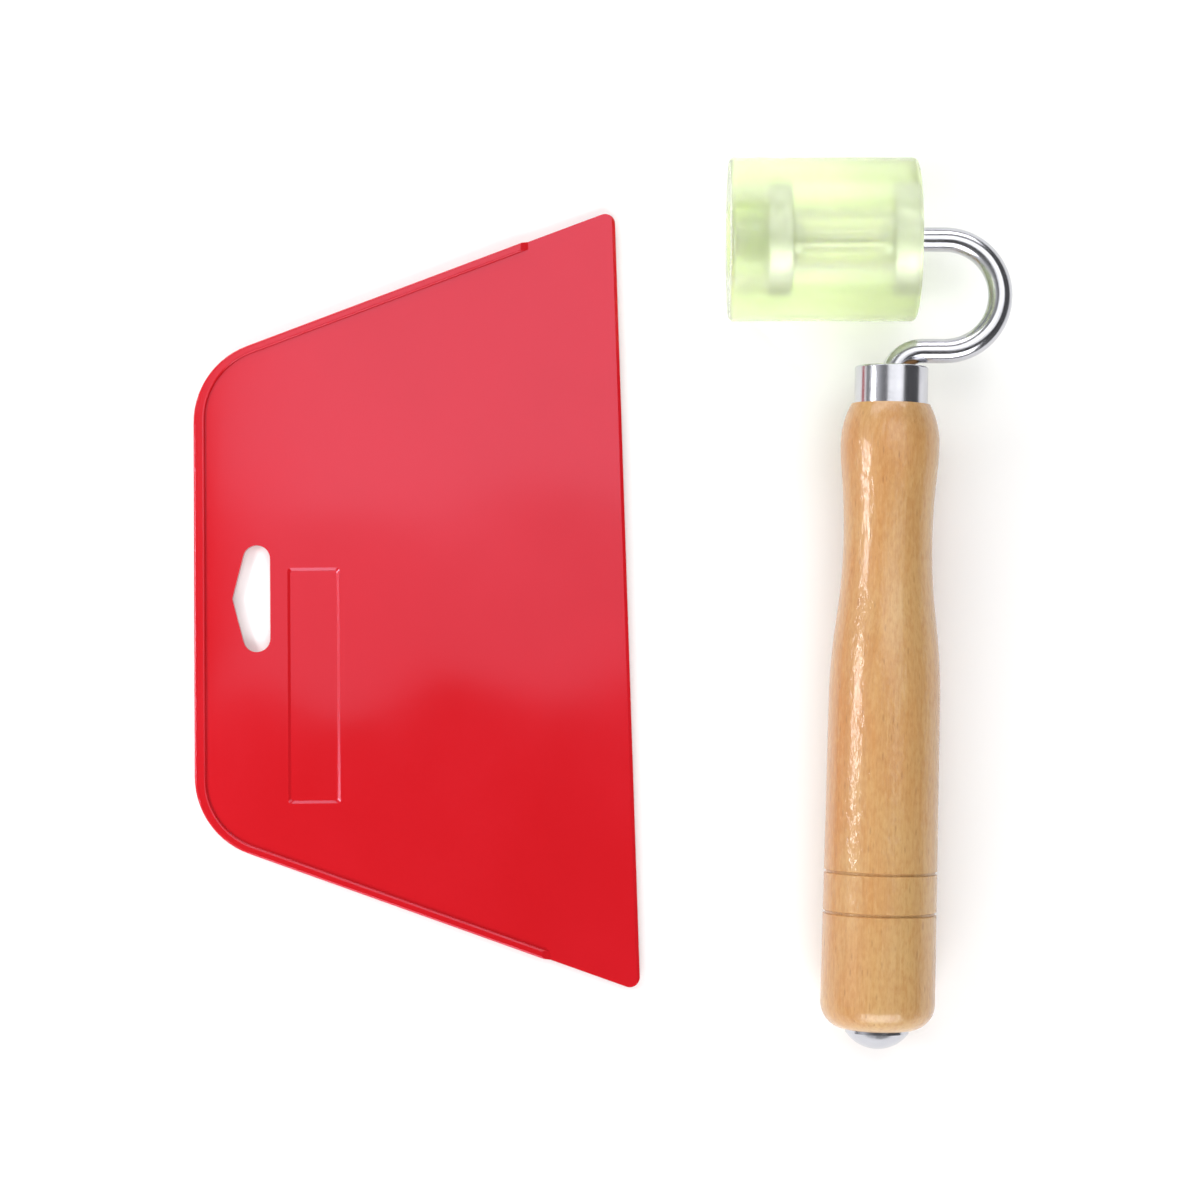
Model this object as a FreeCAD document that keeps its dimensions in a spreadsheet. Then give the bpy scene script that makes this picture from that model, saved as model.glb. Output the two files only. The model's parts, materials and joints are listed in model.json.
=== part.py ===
import FreeCAD, Part

import math
import os

import Sketcher

# A hand squeegee and its press roller, the two tools of a film and wallpaper application set.
#
# The squeegee is one moulding: a thin tapered web inside a raised rim, with a hanging slot. The press
# roller is a polyurethane tyre on two ball bearings, on a bent 6 mm steel rod that runs through a
# ferrule and a turned wooden handle into a domed cap nut. Both lie on the plane z = 0, side by side.
# The origin is on that plane, at the middle of the set's footprint. X runs along the roller's axle,
# Y from the handle's butt to the roller, Z up.

Vector = FreeCAD.Vector
Rotation = FreeCAD.Rotation
Placement = FreeCAD.Placement
X_AXIS = Vector(1, 0, 0)
Y_AXIS = Vector(0, 1, 0)
Z_AXIS = Vector(0, 0, 1)

# What counts as touching, as almost touching, as no distance and as no volume, in millimetres.
TOUCH = 1e-3
NEAR = 1e-2
NO_DISTANCE = 1e-9
NO_VOLUME = 1e-3

# Driving dimensions, in millimetres and degrees.
DIMENSIONS = {
    # squeegee
    "plate_depth": 108.2,
    "plate_back": 117.2,
    "plate_blade": 196.6,
    "plate_corner": 20.5,
    "plate_tip": 2.5,
    "web_thick": 1.8,
    "blade_thick": 1.1,
    "blade_edge": 0.4,
    "blade_bevel": 0.8,
    "blade_skew": 1.25,
    "rim_height": 3.2,
    "rim_back_width": 2.9,
    "rim_side_width": 2.2,
    "rim_reach": 86.2,
    "rim_ramp": 2.0,
    "rim_proud": 0.4,
    "rim_round": 0.6,
    "slot_flat": 19.0,
    "slot_radius": 3.4,
    "slot_span": 19.9,
    "slot_tip": 9.5,
    "slot_round": 0.75,
    "label_near": 23.3,
    "label_width": 13.0,
    "label_length": 58.8,
    "label_shift": 21.8,
    "label_sink": 0.35,
    "label_corner": 1.6,
    "label_slope": 0.7,
    "cut_margin": 5.0,
    "cut_overlap": 0.1,
    # roller tyre
    "tyre_radius": 20.0,
    "tyre_length": 46.0,
    "tyre_bore": 5.6,
    "tyre_round": 1.2,
    "nut_recess": 9.4,
    "race_recess": 0.2,
    # bent rod
    "rod_radius": 2.99,
    "axle_end_gap": 0.8,
    "hook_start": 30.0,
    "hook_radius": 13.7,
    "neck_start": 24.3,
    "neck_radius": 7.4,
    "handle_lean": 1.4,
    "tang_length": 156.7,
    "rod_chamfer": 0.5,
    "thread_pitch": 1.0,
    "thread_depth": 0.45,
    "thread_turns": 7.0,
    "thread_lead": 0.75,
    "thread_mouth": 0.44,
    "thread_root": 0.06,
    # ball bearing, 6 x 19 x 6 mm
    "bearing_bore": 3.0,
    "bearing_outer": 9.5,
    "bearing_width": 6.0,
    "inner_land": 4.7,
    "outer_land": 7.85,
    "shield_seat": 8.25,
    "shield_seat_width": 0.7,
    "pitch_radius": 6.25,
    "ball_radius": 1.75,
    "ball_gap": 0.04,
    "ball_count": 7.0,
    "cage_inner": 5.4,
    "cage_outer": 7.1,
    "cage_back": 0.3,
    "cage_width": 3.0,
    "shield_hole": 4.95,
    "shield_thick": 0.3,
    "shield_rim": 0.7,
    "shield_crimp": 0.35,
    "shield_crimp_rise": 0.25,
    "shield_dish": 0.1,
    "shield_lip": 0.5,
    "shield_lip_drop": 0.05,
    "race_round": 0.3,
    # hardware on the axle
    "collar_radius": 4.6,
    "collar_length": 2.6,
    "collar_chamfer": 0.4,
    "washer_radius": 4.6,
    "washer_thick": 1.0,
    "washer_chamfer": 0.15,
    "nut_flats": 10.0,
    "nut_height": 6.0,
    "nut_skirt": 4.4,
    "nut_turning": 2.0,
    "nut_chamfer": 0.55,
    "nut_shoulder": 0.15,
    "nut_crown_rise": 0.5,
    "nut_crown_wall": 0.75,
    "nut_crown_top": 0.55,
    "nut_lip": 0.35,
    "nut_lip_thick": 0.25,
    "nut_flare": 0.4,
    "nut_flare_depth": 0.35,
    "insert_radius": 3.9,
    "insert_height": 1.6,
    "insert_chamfer": 0.1,
    # handle
    "shoulder_drop": 5.9,
    "handle_length": 152.8,
    "collar_neck_radius": 8.4,
    "collar_neck_length": 8.75,
    "neck_chamfer": 0.4,
    "nose_radius": 21.0,
    "bulge_at": 9.8,
    "bulge_radius": 12.1,
    "bulge_arc": 65.0,
    "waist_at": 32.9,
    "waist_radius": 10.85,
    "palm_at": 73.9,
    "palm_radius": 13.62,
    "butt_radius": 14.0,
    "butt_corner": 6.5,
    "rod_bore": 3.05,
    "mouth_radius": 5.8,
    "mouth_depth": 5.2,
    "groove_count": 2.0,
    "groove_first": 114.4,
    "groove_step": 9.9,
    "groove_mouth": 1.0,
    "groove_top": 15.0,
    "groove_land": 0.25,
    "groove_floor": 13.4,
    # ferrule
    "fit_gap": 0.05,
    "ferrule_wall": 0.5,
    "ferrule_lip": 6.9,
    "ferrule_round": 0.45,
    # domed cap nut
    "cap_radius": 7.75,
    "cap_rise": 4.1,
    "cap_edge": 0.7,
    "cap_barrel": 4.0,
    "cap_barrel_chamfer": 0.4,
    "cap_barrel_length": 16.0,
    "cap_bore_length": 15.0,
    "cap_drill_point": 0.6,
    "cap_seat_gap": 0.1,
    # where the tools lie, before the set is centred
    "plate_from_tyre": -156.0,
    "plate_drop": 87.5,
    "plate_turn": 0.6,
}

# Sizes that follow from the driving ones.
DERIVED = {
    "side_run": "(plate_blade - plate_back) / 2 / plate_depth",
    "side_stretch": "sqrt(1 + side_run ^ 2)",
    "blade_sin": "sin(blade_skew)",
    "blade_cos": "cos(blade_skew)",
    "rim_step": "(rim_height - web_thick) / 2",
    "left_bearing": "-tyre_length / 2 + nut_recess + bearing_width / 2",
    "right_bearing": "tyre_length / 2 - race_recess - bearing_width / 2",
    "axle_end": "-tyre_length / 2 + axle_end_gap",
    "tang_x": "neck_start - neck_radius * cos(handle_lean)",
    "tang_y": "-2 * hook_radius - neck_radius * (1 - sin(handle_lean))",
    "waist_reach": "waist_at - bulge_at",
    "waist_drop": "bulge_radius - waist_radius",
    "waist_arc": "(waist_reach ^ 2 + waist_drop ^ 2) / 2 / waist_drop - bulge_arc",
    "palm_reach": "palm_at - waist_at",
    "palm_rise": "palm_radius - waist_radius",
    "palm_arc": "(palm_reach ^ 2 + palm_rise ^ 2) / 2 / palm_rise - waist_arc",
    "dome_arc": "(cap_radius ^ 2 + cap_rise ^ 2) / 2 / cap_rise",
}

doc = FreeCAD.newDocument("SqueegeeSet")
sheet = doc.addObject("Spreadsheet::Sheet", "Dims")
cells = [(alias, str(number)) for alias, number in DIMENSIONS.items()]
cells += [(alias, "=" + formula) for alias, formula in DERIVED.items()]
for row, (alias, content) in enumerate(cells, start=1):
    sheet.set(f"A{row}", alias)
    sheet.setAlias(f"B{row}", alias)
    sheet.set(f"B{row}", content)
doc.recompute()


def dim(alias):
    """A driving dimension, read from the sheet."""
    return float(getattr(sheet, alias))


def value(owner, expression):
    """What an expression comes to, as a plain number in millimetres or degrees."""
    found = owner.evalExpression(expression)
    return float(getattr(found, "Value", found))


# ---------------------------------------- sketch and feature helpers


def new_body(name):
    return doc.addObject("PartDesign::Body", name)


def new_sketch(body, name, plane="XY_Plane", lift=None):
    """A sketch on one of the body's own origin planes, lifted along the plane's normal by an expression."""
    sketch = body.newObject("Sketcher::SketchObject", name)
    support = next(o for o in body.Origin.OriginFeatures if o.Role == plane)
    sketch.AttachmentSupport = [(support, "")]
    sketch.MapMode = "FlatFace"
    if lift:
        sketch.setExpression("AttachmentOffset.Base.z", lift)
    doc.recompute()
    return sketch


def pin_point(sketch, geometry, end, x, y):
    """Fixes a point of the sketch at two expressions from the origin."""
    for kind, expression, axis in (("DistanceX", x, -2), ("DistanceY", y, -1)):
        place = value(sketch, expression)
        if abs(place) < NO_DISTANCE:
            sketch.addConstraint(Sketcher.Constraint("PointOnObject", geometry, end, axis))
            continue
        index = sketch.addConstraint(Sketcher.Constraint(kind, -1, 1, geometry, end, place))
        sketch.setExpression(f"Constraints[{index}]", expression)


def set_radius(sketch, geometry, expression):
    radius = value(sketch, expression)
    index = sketch.addConstraint(Sketcher.Constraint("Radius", geometry, radius))
    sketch.setExpression(f"Constraints[{index}]", expression)


def add_line(sketch, start, end):
    return sketch.addGeometry(Part.LineSegment(Vector(*start, 0), Vector(*end, 0)), False)


def add_arc(sketch, centre, radius, start, end):
    """An arc running counter-clockwise between two angles in degrees."""
    circle = Part.Circle(Vector(*centre, 0), Z_AXIS, radius)
    arc = Part.ArcOfCircle(circle, math.radians(start), math.radians(end))
    return sketch.addGeometry(arc, False)


def join(sketch, first, first_end, second, second_end, kind="Coincident"):
    sketch.addConstraint(Sketcher.Constraint(kind, first, first_end, second, second_end))


def outline(sketch, points):
    """A closed outline of straight edges. Each point is a pair of expressions."""
    places = [(value(sketch, x), value(sketch, y)) for x, y in points]
    lines = [add_line(sketch, a, b) for a, b in zip(places, places[1:] + places[:1])]
    for line, after in zip(lines, lines[1:] + lines[:1]):
        join(sketch, line, 2, after, 1)
    for line, (x, y) in zip(lines, points):
        pin_point(sketch, line, 1, x, y)
    return sketch


def revolve(body, name, sketch, axis="H_Axis", kind="PartDesign::Revolution"):
    feature = body.newObject(kind, name)
    feature.Profile = sketch
    feature.ReferenceAxis = (sketch, [axis])
    feature.Angle = 360
    sketch.Visibility = False
    doc.recompute()
    return feature


def pad(body, name, sketch, length, midplane=False):
    feature = body.newObject("PartDesign::Pad", name)
    feature.Profile = sketch
    feature.Midplane = midplane
    feature.setExpression("Length", length)
    doc.recompute()
    return feature


def pocket(body, name, sketch, length=None, midplane=False, upward=False):
    """Cuts to a depth, downward from the sketch unless upward is set, or right through both ways."""
    before = body.Shape.Volume
    feature = body.newObject("PartDesign::Pocket", name)
    feature.Profile = sketch
    if length:
        feature.setExpression("Length", length)
        feature.Midplane = midplane
        feature.Reversed = upward
    else:
        feature.Type = 1
        feature.Midplane = True
    doc.recompute()
    if body.Shape.Volume > before - NO_VOLUME:
        raise RuntimeError(f"{name} cut nothing")
    return feature


def lathe(name, points):
    """A body turned about X from an outline of straight edges in its XY plane."""
    body = new_body(name)
    sketch = outline(new_sketch(body, name + "Profile"), points)
    revolve(body, name + "Turn", sketch)
    return body


def edges_where(shape, test):
    """Names of the edges whose bounding box passes a test."""
    return [f"Edge{i}" for i, edge in enumerate(shape.Edges, start=1) if test(edge.BoundBox)]


def dress(body, name, kind, expression, test):
    """A fillet or chamfer on the edges of the body that pass a test."""
    base = body.Tip
    names = edges_where(base.Shape, test)
    if not names:
        raise RuntimeError(f"{name} found no edges")
    feature = body.newObject("PartDesign::" + kind, name)
    feature.Base = (base, names)
    feature.setExpression("Radius" if kind == "Fillet" else "Size", expression)
    doc.recompute()
    return feature


def at(coordinate, target, reach=TOUCH):
    return abs(coordinate - target) < reach


# ---------------------------------------- squeegee, X from its back edge to the blade


def side_at(x, inset="0"):
    """Half the plate's width at x, inset squarely from its slanted side."""
    return f"(Dims.plate_back / 2 + ({x}) * Dims.side_run - ({inset}) * Dims.side_stretch)"


def skewed(reach, sign):
    """Where the blade's direction, at a reach from the back edge, meets the side on +Y or, for -, on -Y."""
    span = f"({reach}) - {sign}1 * Dims.plate_back / 2 * Dims.blade_sin"
    return f"(({span}) / (Dims.blade_cos + {sign}1 * Dims.side_run * Dims.blade_sin))"


def plate_outline(sketch, x_near, x_low, x_high, inset, radius):
    """A trapezoid from near the back edge to a far corner on each side, with its back corners rounded."""
    near, round_by = value(sketch, x_near), value(sketch, radius)
    centre_y = f"{side_at(x_near, inset)} - ({radius}) * (Dims.side_stretch - Dims.side_run)"
    centre = (near + round_by, value(sketch, centre_y))
    lean = math.degrees(math.atan(dim("side_run")))
    normal = (-math.sin(math.radians(lean)), math.cos(math.radians(lean)))
    contact = (centre[0] + round_by * normal[0], centre[1] + round_by * normal[1])
    low_corner = (value(sketch, x_low), -value(sketch, side_at(x_low, inset)))
    high_corner = (value(sketch, x_high), value(sketch, side_at(x_high, inset)))
    low_side = add_line(sketch, (contact[0], -contact[1]), low_corner)
    blade = add_line(sketch, low_corner, high_corner)
    high_side = add_line(sketch, high_corner, contact)
    high_round = add_arc(sketch, centre, round_by, 90 + lean, 180)
    back = add_line(sketch, (near, centre[1]), (near, -centre[1]))
    low_round = add_arc(sketch, (centre[0], -centre[1]), round_by, 180, 270 - lean)
    join(sketch, low_side, 2, blade, 1)
    join(sketch, blade, 2, high_side, 1)
    join(sketch, high_side, 2, high_round, 1, "Tangent")
    join(sketch, high_round, 2, back, 1, "Tangent")
    join(sketch, back, 2, low_round, 1, "Tangent")
    join(sketch, low_round, 2, low_side, 1, "Tangent")
    halves = (("-", x_low, low_side, 2, low_round), ("", x_high, high_side, 1, high_round))
    for sign, far, side, end, arc in halves:
        pin_point(sketch, side, end, far, sign + side_at(far, inset))
        pin_point(sketch, arc, 3, f"{x_near} + {radius}", f"{sign}({centre_y})")
        set_radius(sketch, arc, radius)
    return sketch


def plate_slot(sketch):
    """The hanging slot: two round ends joined by a flat side and by a shallow point towards the back."""
    radius, tip = dim("slot_radius"), dim("slot_tip")
    centre_x, centre_y = dim("slot_flat") - radius, dim("slot_span") / 2
    reach = math.hypot(centre_x - tip, centre_y)
    slant = math.atan2(centre_y, centre_x - tip) + math.asin(radius / reach)
    touch = math.degrees(slant) + 90
    run = math.sqrt(reach**2 - radius**2)
    contact = (tip + run * math.cos(slant), run * math.sin(slant))
    top = add_arc(sketch, (centre_x, centre_y), radius, 0, touch)
    upper = add_line(sketch, contact, (tip, 0))
    lower = add_line(sketch, (tip, 0), (contact[0], -contact[1]))
    bottom = add_arc(sketch, (centre_x, -centre_y), radius, 360 - touch, 360)
    flat = add_line(sketch, (centre_x + radius, -centre_y), (centre_x + radius, centre_y))
    join(sketch, top, 2, upper, 1, "Tangent")
    join(sketch, upper, 2, lower, 1)
    join(sketch, lower, 2, bottom, 1, "Tangent")
    join(sketch, bottom, 2, flat, 1, "Tangent")
    join(sketch, flat, 2, top, 1, "Tangent")
    pin_point(sketch, upper, 2, "Dims.slot_tip", "0")
    pin_point(sketch, top, 3, "Dims.slot_flat - Dims.slot_radius", "Dims.slot_span / 2")
    pin_point(sketch, bottom, 3, "Dims.slot_flat - Dims.slot_radius", "-Dims.slot_span / 2")
    set_radius(sketch, top, "Dims.slot_radius")
    set_radius(sketch, bottom, "Dims.slot_radius")
    return sketch


def blade_relief(sketch, sign):
    """Side view of what is cut away beyond the rim: its ramp, the blade's taper and its bevel."""
    middle = "Dims.rim_height / 2"
    far = "Dims.plate_depth + Dims.cut_margin"
    clear = f"{middle} {sign} (Dims.rim_height / 2 + Dims.cut_margin)"
    points = [
        ("Dims.rim_reach - Dims.rim_ramp", clear),
        ("Dims.rim_reach - Dims.rim_ramp", f"{middle} {sign} Dims.rim_height / 2"),
        ("Dims.rim_reach", f"{middle} {sign} Dims.web_thick / 2"),
        ("Dims.plate_depth - Dims.blade_bevel", f"{middle} {sign} Dims.blade_thick / 2"),
        ("Dims.plate_depth", f"{middle} {sign} Dims.blade_edge / 2"),
        (far, f"{middle} {sign} Dims.blade_edge / 2"),
        (far, clear),
    ]
    return outline(sketch, points)


def squeegee():
    body = new_body("Squeegee")
    slab = new_sketch(body, "SlabOutline")
    low_tip = skewed("Dims.plate_depth", "-")
    high_tip = skewed("Dims.plate_depth", "+")
    plate_outline(slab, "0", low_tip, high_tip, "0", "Dims.plate_corner")
    pad(body, "Slab", slab, "Dims.rim_height")

    beyond = "Dims.plate_depth + Dims.cut_margin"
    outside = "-Dims.cut_margin"
    near, side = "Dims.rim_back_width", "Dims.rim_side_width"
    inner_radius = "(Dims.plate_corner - Dims.rim_back_width)"
    for face, lift, upward in (("Top", "Dims.rim_height", False), ("Under", "0", True)):
        sketch = new_sketch(body, face + "FaceOutline", lift=lift)
        plate_outline(sketch, near, beyond, beyond, side, inner_radius)
        pocket(body, face + "Face", sketch, "Dims.rim_step", upward=upward)

    for face, sign in (("Top", "+"), ("Under", "-")):
        sketch = blade_relief(new_sketch(body, face + "ReliefSide", "XZ_Plane"), sign)
        sketch.AttachmentOffset = Placement(Vector(), Rotation(Y_AXIS, dim("blade_skew")))
        sketch.setExpression("AttachmentOffset.Rotation.Angle", "Dims.blade_skew")
        doc.recompute()
        pocket(body, face + "Relief", sketch)

    trim = new_sketch(body, "BladeTrimOutline")
    for sign in ("+", "-"):
        start = skewed("Dims.rim_reach - Dims.rim_ramp", sign)
        end = skewed("Dims.rim_reach", sign)
        points = [
            (start, sign + side_at(start)),
            (end, sign + side_at(end, "Dims.rim_proud")),
            (beyond, sign + side_at(beyond, "Dims.rim_proud")),
            (beyond, sign + side_at(beyond, outside)),
            (start, sign + side_at(end, outside)),
        ]
        outline(trim, points)
    pocket(body, "BladeTrim", trim)

    def tip(box):
        upright = at(box.YMin, box.YMax) and at(box.XMin, box.XMax)
        by_the_blade = box.XMax > dim("rim_reach") + dim("cut_margin")
        return upright and by_the_blade and abs(box.YMin) > dim("plate_back") / 2

    dress(body, "BladeTips", "Fillet", "Dims.plate_tip", tip)

    pocket(body, "HangSlot", plate_slot(new_sketch(body, "HangSlotOutline")))
    recess = new_sketch(body, "LabelOutline", lift="Dims.rim_height - Dims.rim_step")
    near, far = "Dims.label_near", "Dims.label_near + Dims.label_width"
    low = "-Dims.label_shift - Dims.label_length / 2"
    high = "-Dims.label_shift + Dims.label_length / 2"
    outline(recess, [(near, low), (far, low), (far, high), (near, high)])
    panel = pocket(body, "LabelPanel", recess, "Dims.label_sink")
    panel.setExpression("TaperAngle", "-atan(Dims.label_slope / Dims.label_sink)")
    doc.recompute()

    top = dim("rim_height") - dim("rim_step")
    floor = top - dim("label_sink")
    slot_tip = dim("slot_tip")
    dress(body, "LabelCorners", "Fillet", "Dims.label_corner",
          lambda box: at(box.ZMin, floor) and at(box.ZMax, top))
    dress(body, "HangSlotTip", "Fillet", "Dims.slot_round",
          lambda box: at(box.XMin, slot_tip) and at(box.XMax, slot_tip))
    for face, level in (("Top", dim("rim_height")), ("Under", 0)):
        dress(body, face + "Bead", "Fillet", "Dims.rim_round",
              lambda box: at(box.ZMin, level) and at(box.ZMax, level))
    return body


# ---------------------------------------- roller, X along its axle


def roller_tyre():
    seat, bore = "Dims.bearing_outer", "Dims.tyre_bore"
    half = "Dims.tyre_length / 2"
    left = "Dims.left_bearing + Dims.bearing_width / 2"
    right = "Dims.right_bearing - Dims.bearing_width / 2"
    points = [
        ("-" + half, seat),
        (left, seat),
        (left, bore),
        (right, bore),
        (right, seat),
        (half, seat),
        (half, "Dims.tyre_radius"),
        ("-" + half, "Dims.tyre_radius"),
    ]
    body = lathe("Tyre", points)
    rim, end = dim("tyre_radius"), dim("tyre_length") / 2
    dress(body, "TyreRounds", "Fillet", "Dims.tyre_round",
          lambda box: at(abs(box.Center.x), end) and at(box.YMax, rim))
    return body


def ring(name, length, inner, outer, chamfer):
    """A plain ring from x = 0 with its outer edges chamfered."""
    points = [
        ("0", inner),
        (length, inner),
        (length, f"{outer} - {chamfer}"),
        (f"{length} - {chamfer}", outer),
        (chamfer, outer),
        ("0", f"{outer} - {chamfer}"),
    ]
    return lathe(name, points)


def stop_collar(name):
    bore, outer, chamfer = "Dims.bearing_bore", "Dims.collar_radius", "Dims.collar_chamfer"
    return ring(name, "Dims.collar_length", bore, outer, chamfer)


def axle_washer():
    bore, outer, chamfer = "Dims.bearing_bore", "Dims.washer_radius", "Dims.washer_chamfer"
    return ring("Washer", "Dims.washer_thick", bore, outer, chamfer)


def lock_nut():
    """A prevailing-torque nut: a hexagon with a turned crown that holds the nylon ring."""
    body = new_body("Nut")
    hexagon = new_sketch(body, "NutHexagon", "YZ_Plane")
    side = "Dims.nut_flats / 2 / sqrt(3)"
    flat = "Dims.nut_flats / 2"
    corners = [("2 * " + side, "0"), (side, flat), ("-" + side, flat)]
    corners += [("-2 * " + side, "0"), ("-" + side, "-" + flat), (side, "-" + flat)]
    pad(body, "NutBlank", outline(hexagon, corners), "Dims.nut_height")

    before = "-Dims.cut_overlap"
    past = "Dims.nut_height + Dims.cut_overlap"
    over = "Dims.nut_flats / 2 + Dims.nut_turning"
    turned = new_sketch(body, "NutTurning")
    outline(turned, [(before, flat), ("Dims.nut_chamfer", over), (before, over)])
    crown = [
        ("Dims.nut_skirt - Dims.nut_chamfer", over),
        ("Dims.nut_skirt", flat + " - Dims.nut_shoulder"),
        ("Dims.nut_skirt + Dims.nut_crown_rise", "Dims.insert_radius + Dims.nut_crown_wall"),
        ("Dims.nut_height - Dims.nut_crown_rise", "Dims.insert_radius + Dims.nut_crown_top"),
        ("Dims.nut_height", "Dims.insert_radius"),
        (past, "Dims.insert_radius"),
        (past, over),
    ]
    outline(turned, crown)
    revolve(body, "NutTurn", turned, kind="PartDesign::Groove")

    hole = new_sketch(body, "NutHole")
    lip = "Dims.insert_radius - Dims.nut_lip"
    cover = "Dims.nut_height - Dims.nut_lip_thick"
    seat = cover + " - Dims.insert_height"
    points = [
        (before, "0"),
        (before, "Dims.bearing_bore + Dims.nut_flare"),
        ("Dims.nut_flare_depth", "Dims.bearing_bore"),
        (seat, "Dims.bearing_bore"),
        (seat, "Dims.insert_radius"),
        (cover, "Dims.insert_radius"),
        (cover, lip),
        (past, lip),
        (past, "0"),
    ]
    outline(hole, points)
    revolve(body, "NutBore", hole, kind="PartDesign::Groove")
    return body


def lock_nut_insert():
    bore, outer, chamfer = "Dims.bearing_bore", "Dims.insert_radius", "Dims.insert_chamfer"
    return ring("NutRing", "Dims.insert_height", bore, outer, chamfer)


# ---------------------------------------- ball bearing, its axis X through its middle


def raceway(body, name):
    """Cuts the ball track, a ring a running gap larger than the balls."""
    sketch = new_sketch(body, name + "Track")
    radius, pitch = dim("ball_radius") + dim("ball_gap"), dim("pitch_radius")
    circle = sketch.addGeometry(Part.Circle(Vector(0, pitch, 0), Z_AXIS, radius), False)
    pin_point(sketch, circle, 3, "0", "Dims.pitch_radius")
    set_radius(sketch, circle, "Dims.ball_radius + Dims.ball_gap")
    revolve(body, name + "Raceway", sketch, kind="PartDesign::Groove")
    return body


def inner_race(name):
    half, bevel = "Dims.bearing_width / 2", "Dims.race_round"
    bore, land = "Dims.bearing_bore", "Dims.inner_land"
    points = [
        ("-" + half, f"{bore} + {bevel}"),
        (f"-{half} + {bevel}", bore),
        (f"{half} - {bevel}", bore),
        (half, f"{bore} + {bevel}"),
        (half, land),
        ("-" + half, land),
    ]
    return raceway(lathe(name, points), name)


def outer_race(name):
    half, bevel = "Dims.bearing_width / 2", "Dims.race_round"
    outer, land, seat = "Dims.bearing_outer", "Dims.outer_land", "Dims.shield_seat"
    step = "(Dims.bearing_width / 2 - Dims.shield_seat_width)"
    points = [
        ("-" + half, f"{outer} - {bevel}"),
        ("-" + half, seat),
        ("-" + step, seat),
        ("-" + step, land),
        (step, land),
        (step, seat),
        (half, seat),
        (half, f"{outer} - {bevel}"),
        (f"{half} - {bevel}", outer),
        (f"-{half} + {bevel}", outer),
    ]
    return raceway(lathe(name, points), name)


def shield(name):
    """A pressed disc in the outer race's step, dished inward at its hole, with a crimped rim."""
    step = "Dims.bearing_width / 2 - Dims.shield_seat_width"
    thick, lip = "Dims.shield_thick", "Dims.shield_hole + Dims.shield_lip"
    rim, crimp = "Dims.shield_seat - Dims.shield_rim", "Dims.shield_seat - Dims.shield_crimp"
    points = [
        (step, rim),
        (f"{step} + Dims.shield_dish", lip),
        (f"{step} + Dims.shield_lip_drop", "Dims.shield_hole"),
        (f"{step} + Dims.shield_lip_drop + {thick}", "Dims.shield_hole"),
        (f"{step} + Dims.shield_dish + {thick}", lip),
        (f"{step} + {thick}", rim),
        (f"{step} + {thick} + Dims.shield_crimp_rise", crimp),
        (f"{step} + {thick} + Dims.shield_crimp_rise", "Dims.shield_seat"),
        (step, "Dims.shield_seat"),
    ]
    return lathe(name, points)


def cage(name):
    """A crown cage: a ring with round pockets that open to one side."""
    back = "-(Dims.ball_radius + Dims.cage_back)"
    front = "-(Dims.ball_radius + Dims.cage_back) + Dims.cage_width"
    points = [
        (back, "Dims.cage_inner"),
        (front, "Dims.cage_inner"),
        (front, "Dims.cage_outer"),
        (back, "Dims.cage_outer"),
    ]
    body = lathe(name, points)
    sketch = new_sketch(body, name + "Pocket")
    radius, pitch = dim("ball_radius") + dim("ball_gap"), dim("pitch_radius")
    arc = add_arc(sketch, (0, pitch), radius, 0, 180)
    chord = add_line(sketch, (-radius, pitch), (radius, pitch))
    join(sketch, arc, 2, chord, 1)
    join(sketch, chord, 2, arc, 1)
    pin_point(sketch, arc, 3, "0", "Dims.pitch_radius")
    set_radius(sketch, arc, "Dims.ball_radius + Dims.ball_gap")
    sketch.addConstraint(Sketcher.Constraint("PointOnObject", arc, 3, chord))
    sketch.addConstraint(Sketcher.Constraint("Horizontal", chord))
    axis = sketch.addGeometry(Part.LineSegment(Vector(-1, pitch, 0), Vector(1, pitch, 0)), True)
    pin_point(sketch, axis, 1, "-1", "Dims.pitch_radius")
    pin_point(sketch, axis, 2, "1", "Dims.pitch_radius")
    cut = revolve(body, name + "Seat", sketch, axis="Axis0", kind="PartDesign::Groove")
    pattern = body.newObject("PartDesign::PolarPattern", name + "Seats")
    pattern.Originals = [cut]
    pattern.Axis = (sketch, ["H_Axis"])
    pattern.Angle = 360
    pattern.setExpression("Occurrences", "Dims.ball_count")
    body.Tip = pattern
    doc.recompute()
    return body


def balls(name):
    spheres = []
    for index in range(int(dim("ball_count"))):
        sphere = doc.addObject("Part::Sphere", f"{name}{index}")
        turn = f"({index} * 360 / Dims.ball_count)"
        sphere.setExpression("Radius", "Dims.ball_radius")
        sphere.setExpression("Placement.Base.y", f"Dims.pitch_radius * cos({turn})")
        sphere.setExpression("Placement.Base.z", f"Dims.pitch_radius * sin({turn})")
        spheres.append(sphere)
    group = doc.addObject("Part::Compound", name)
    group.Links = spheres
    doc.recompute()
    return group


# ---------------------------------------- bent rod, in the roller's frame


def thread(body, name, sketch, start, sign):
    """Ring grooves that stand for a thread, running from the rod's end."""
    crest, root = "Dims.rod_radius", "Dims.rod_radius - Dims.thread_depth"
    outside = "Dims.rod_radius + Dims.cut_overlap"
    mouth, floor = "Dims.thread_pitch * Dims.thread_mouth", "Dims.thread_pitch * Dims.thread_root"
    for turn in range(int(dim("thread_turns"))):
        middle = f"{start} {sign} ({turn} + Dims.thread_lead) * Dims.thread_pitch"
        points = [
            (f"{middle} - {mouth}", crest),
            (f"{middle} - {floor}", root),
            (f"{middle} + {floor}", root),
            (f"{middle} + {mouth}", crest),
            (f"{middle} + {mouth}", outside),
            (f"{middle} - {mouth}", outside),
        ]
        outline(sketch, points)
    return revolve(body, name, sketch, kind="PartDesign::Groove")


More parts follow.
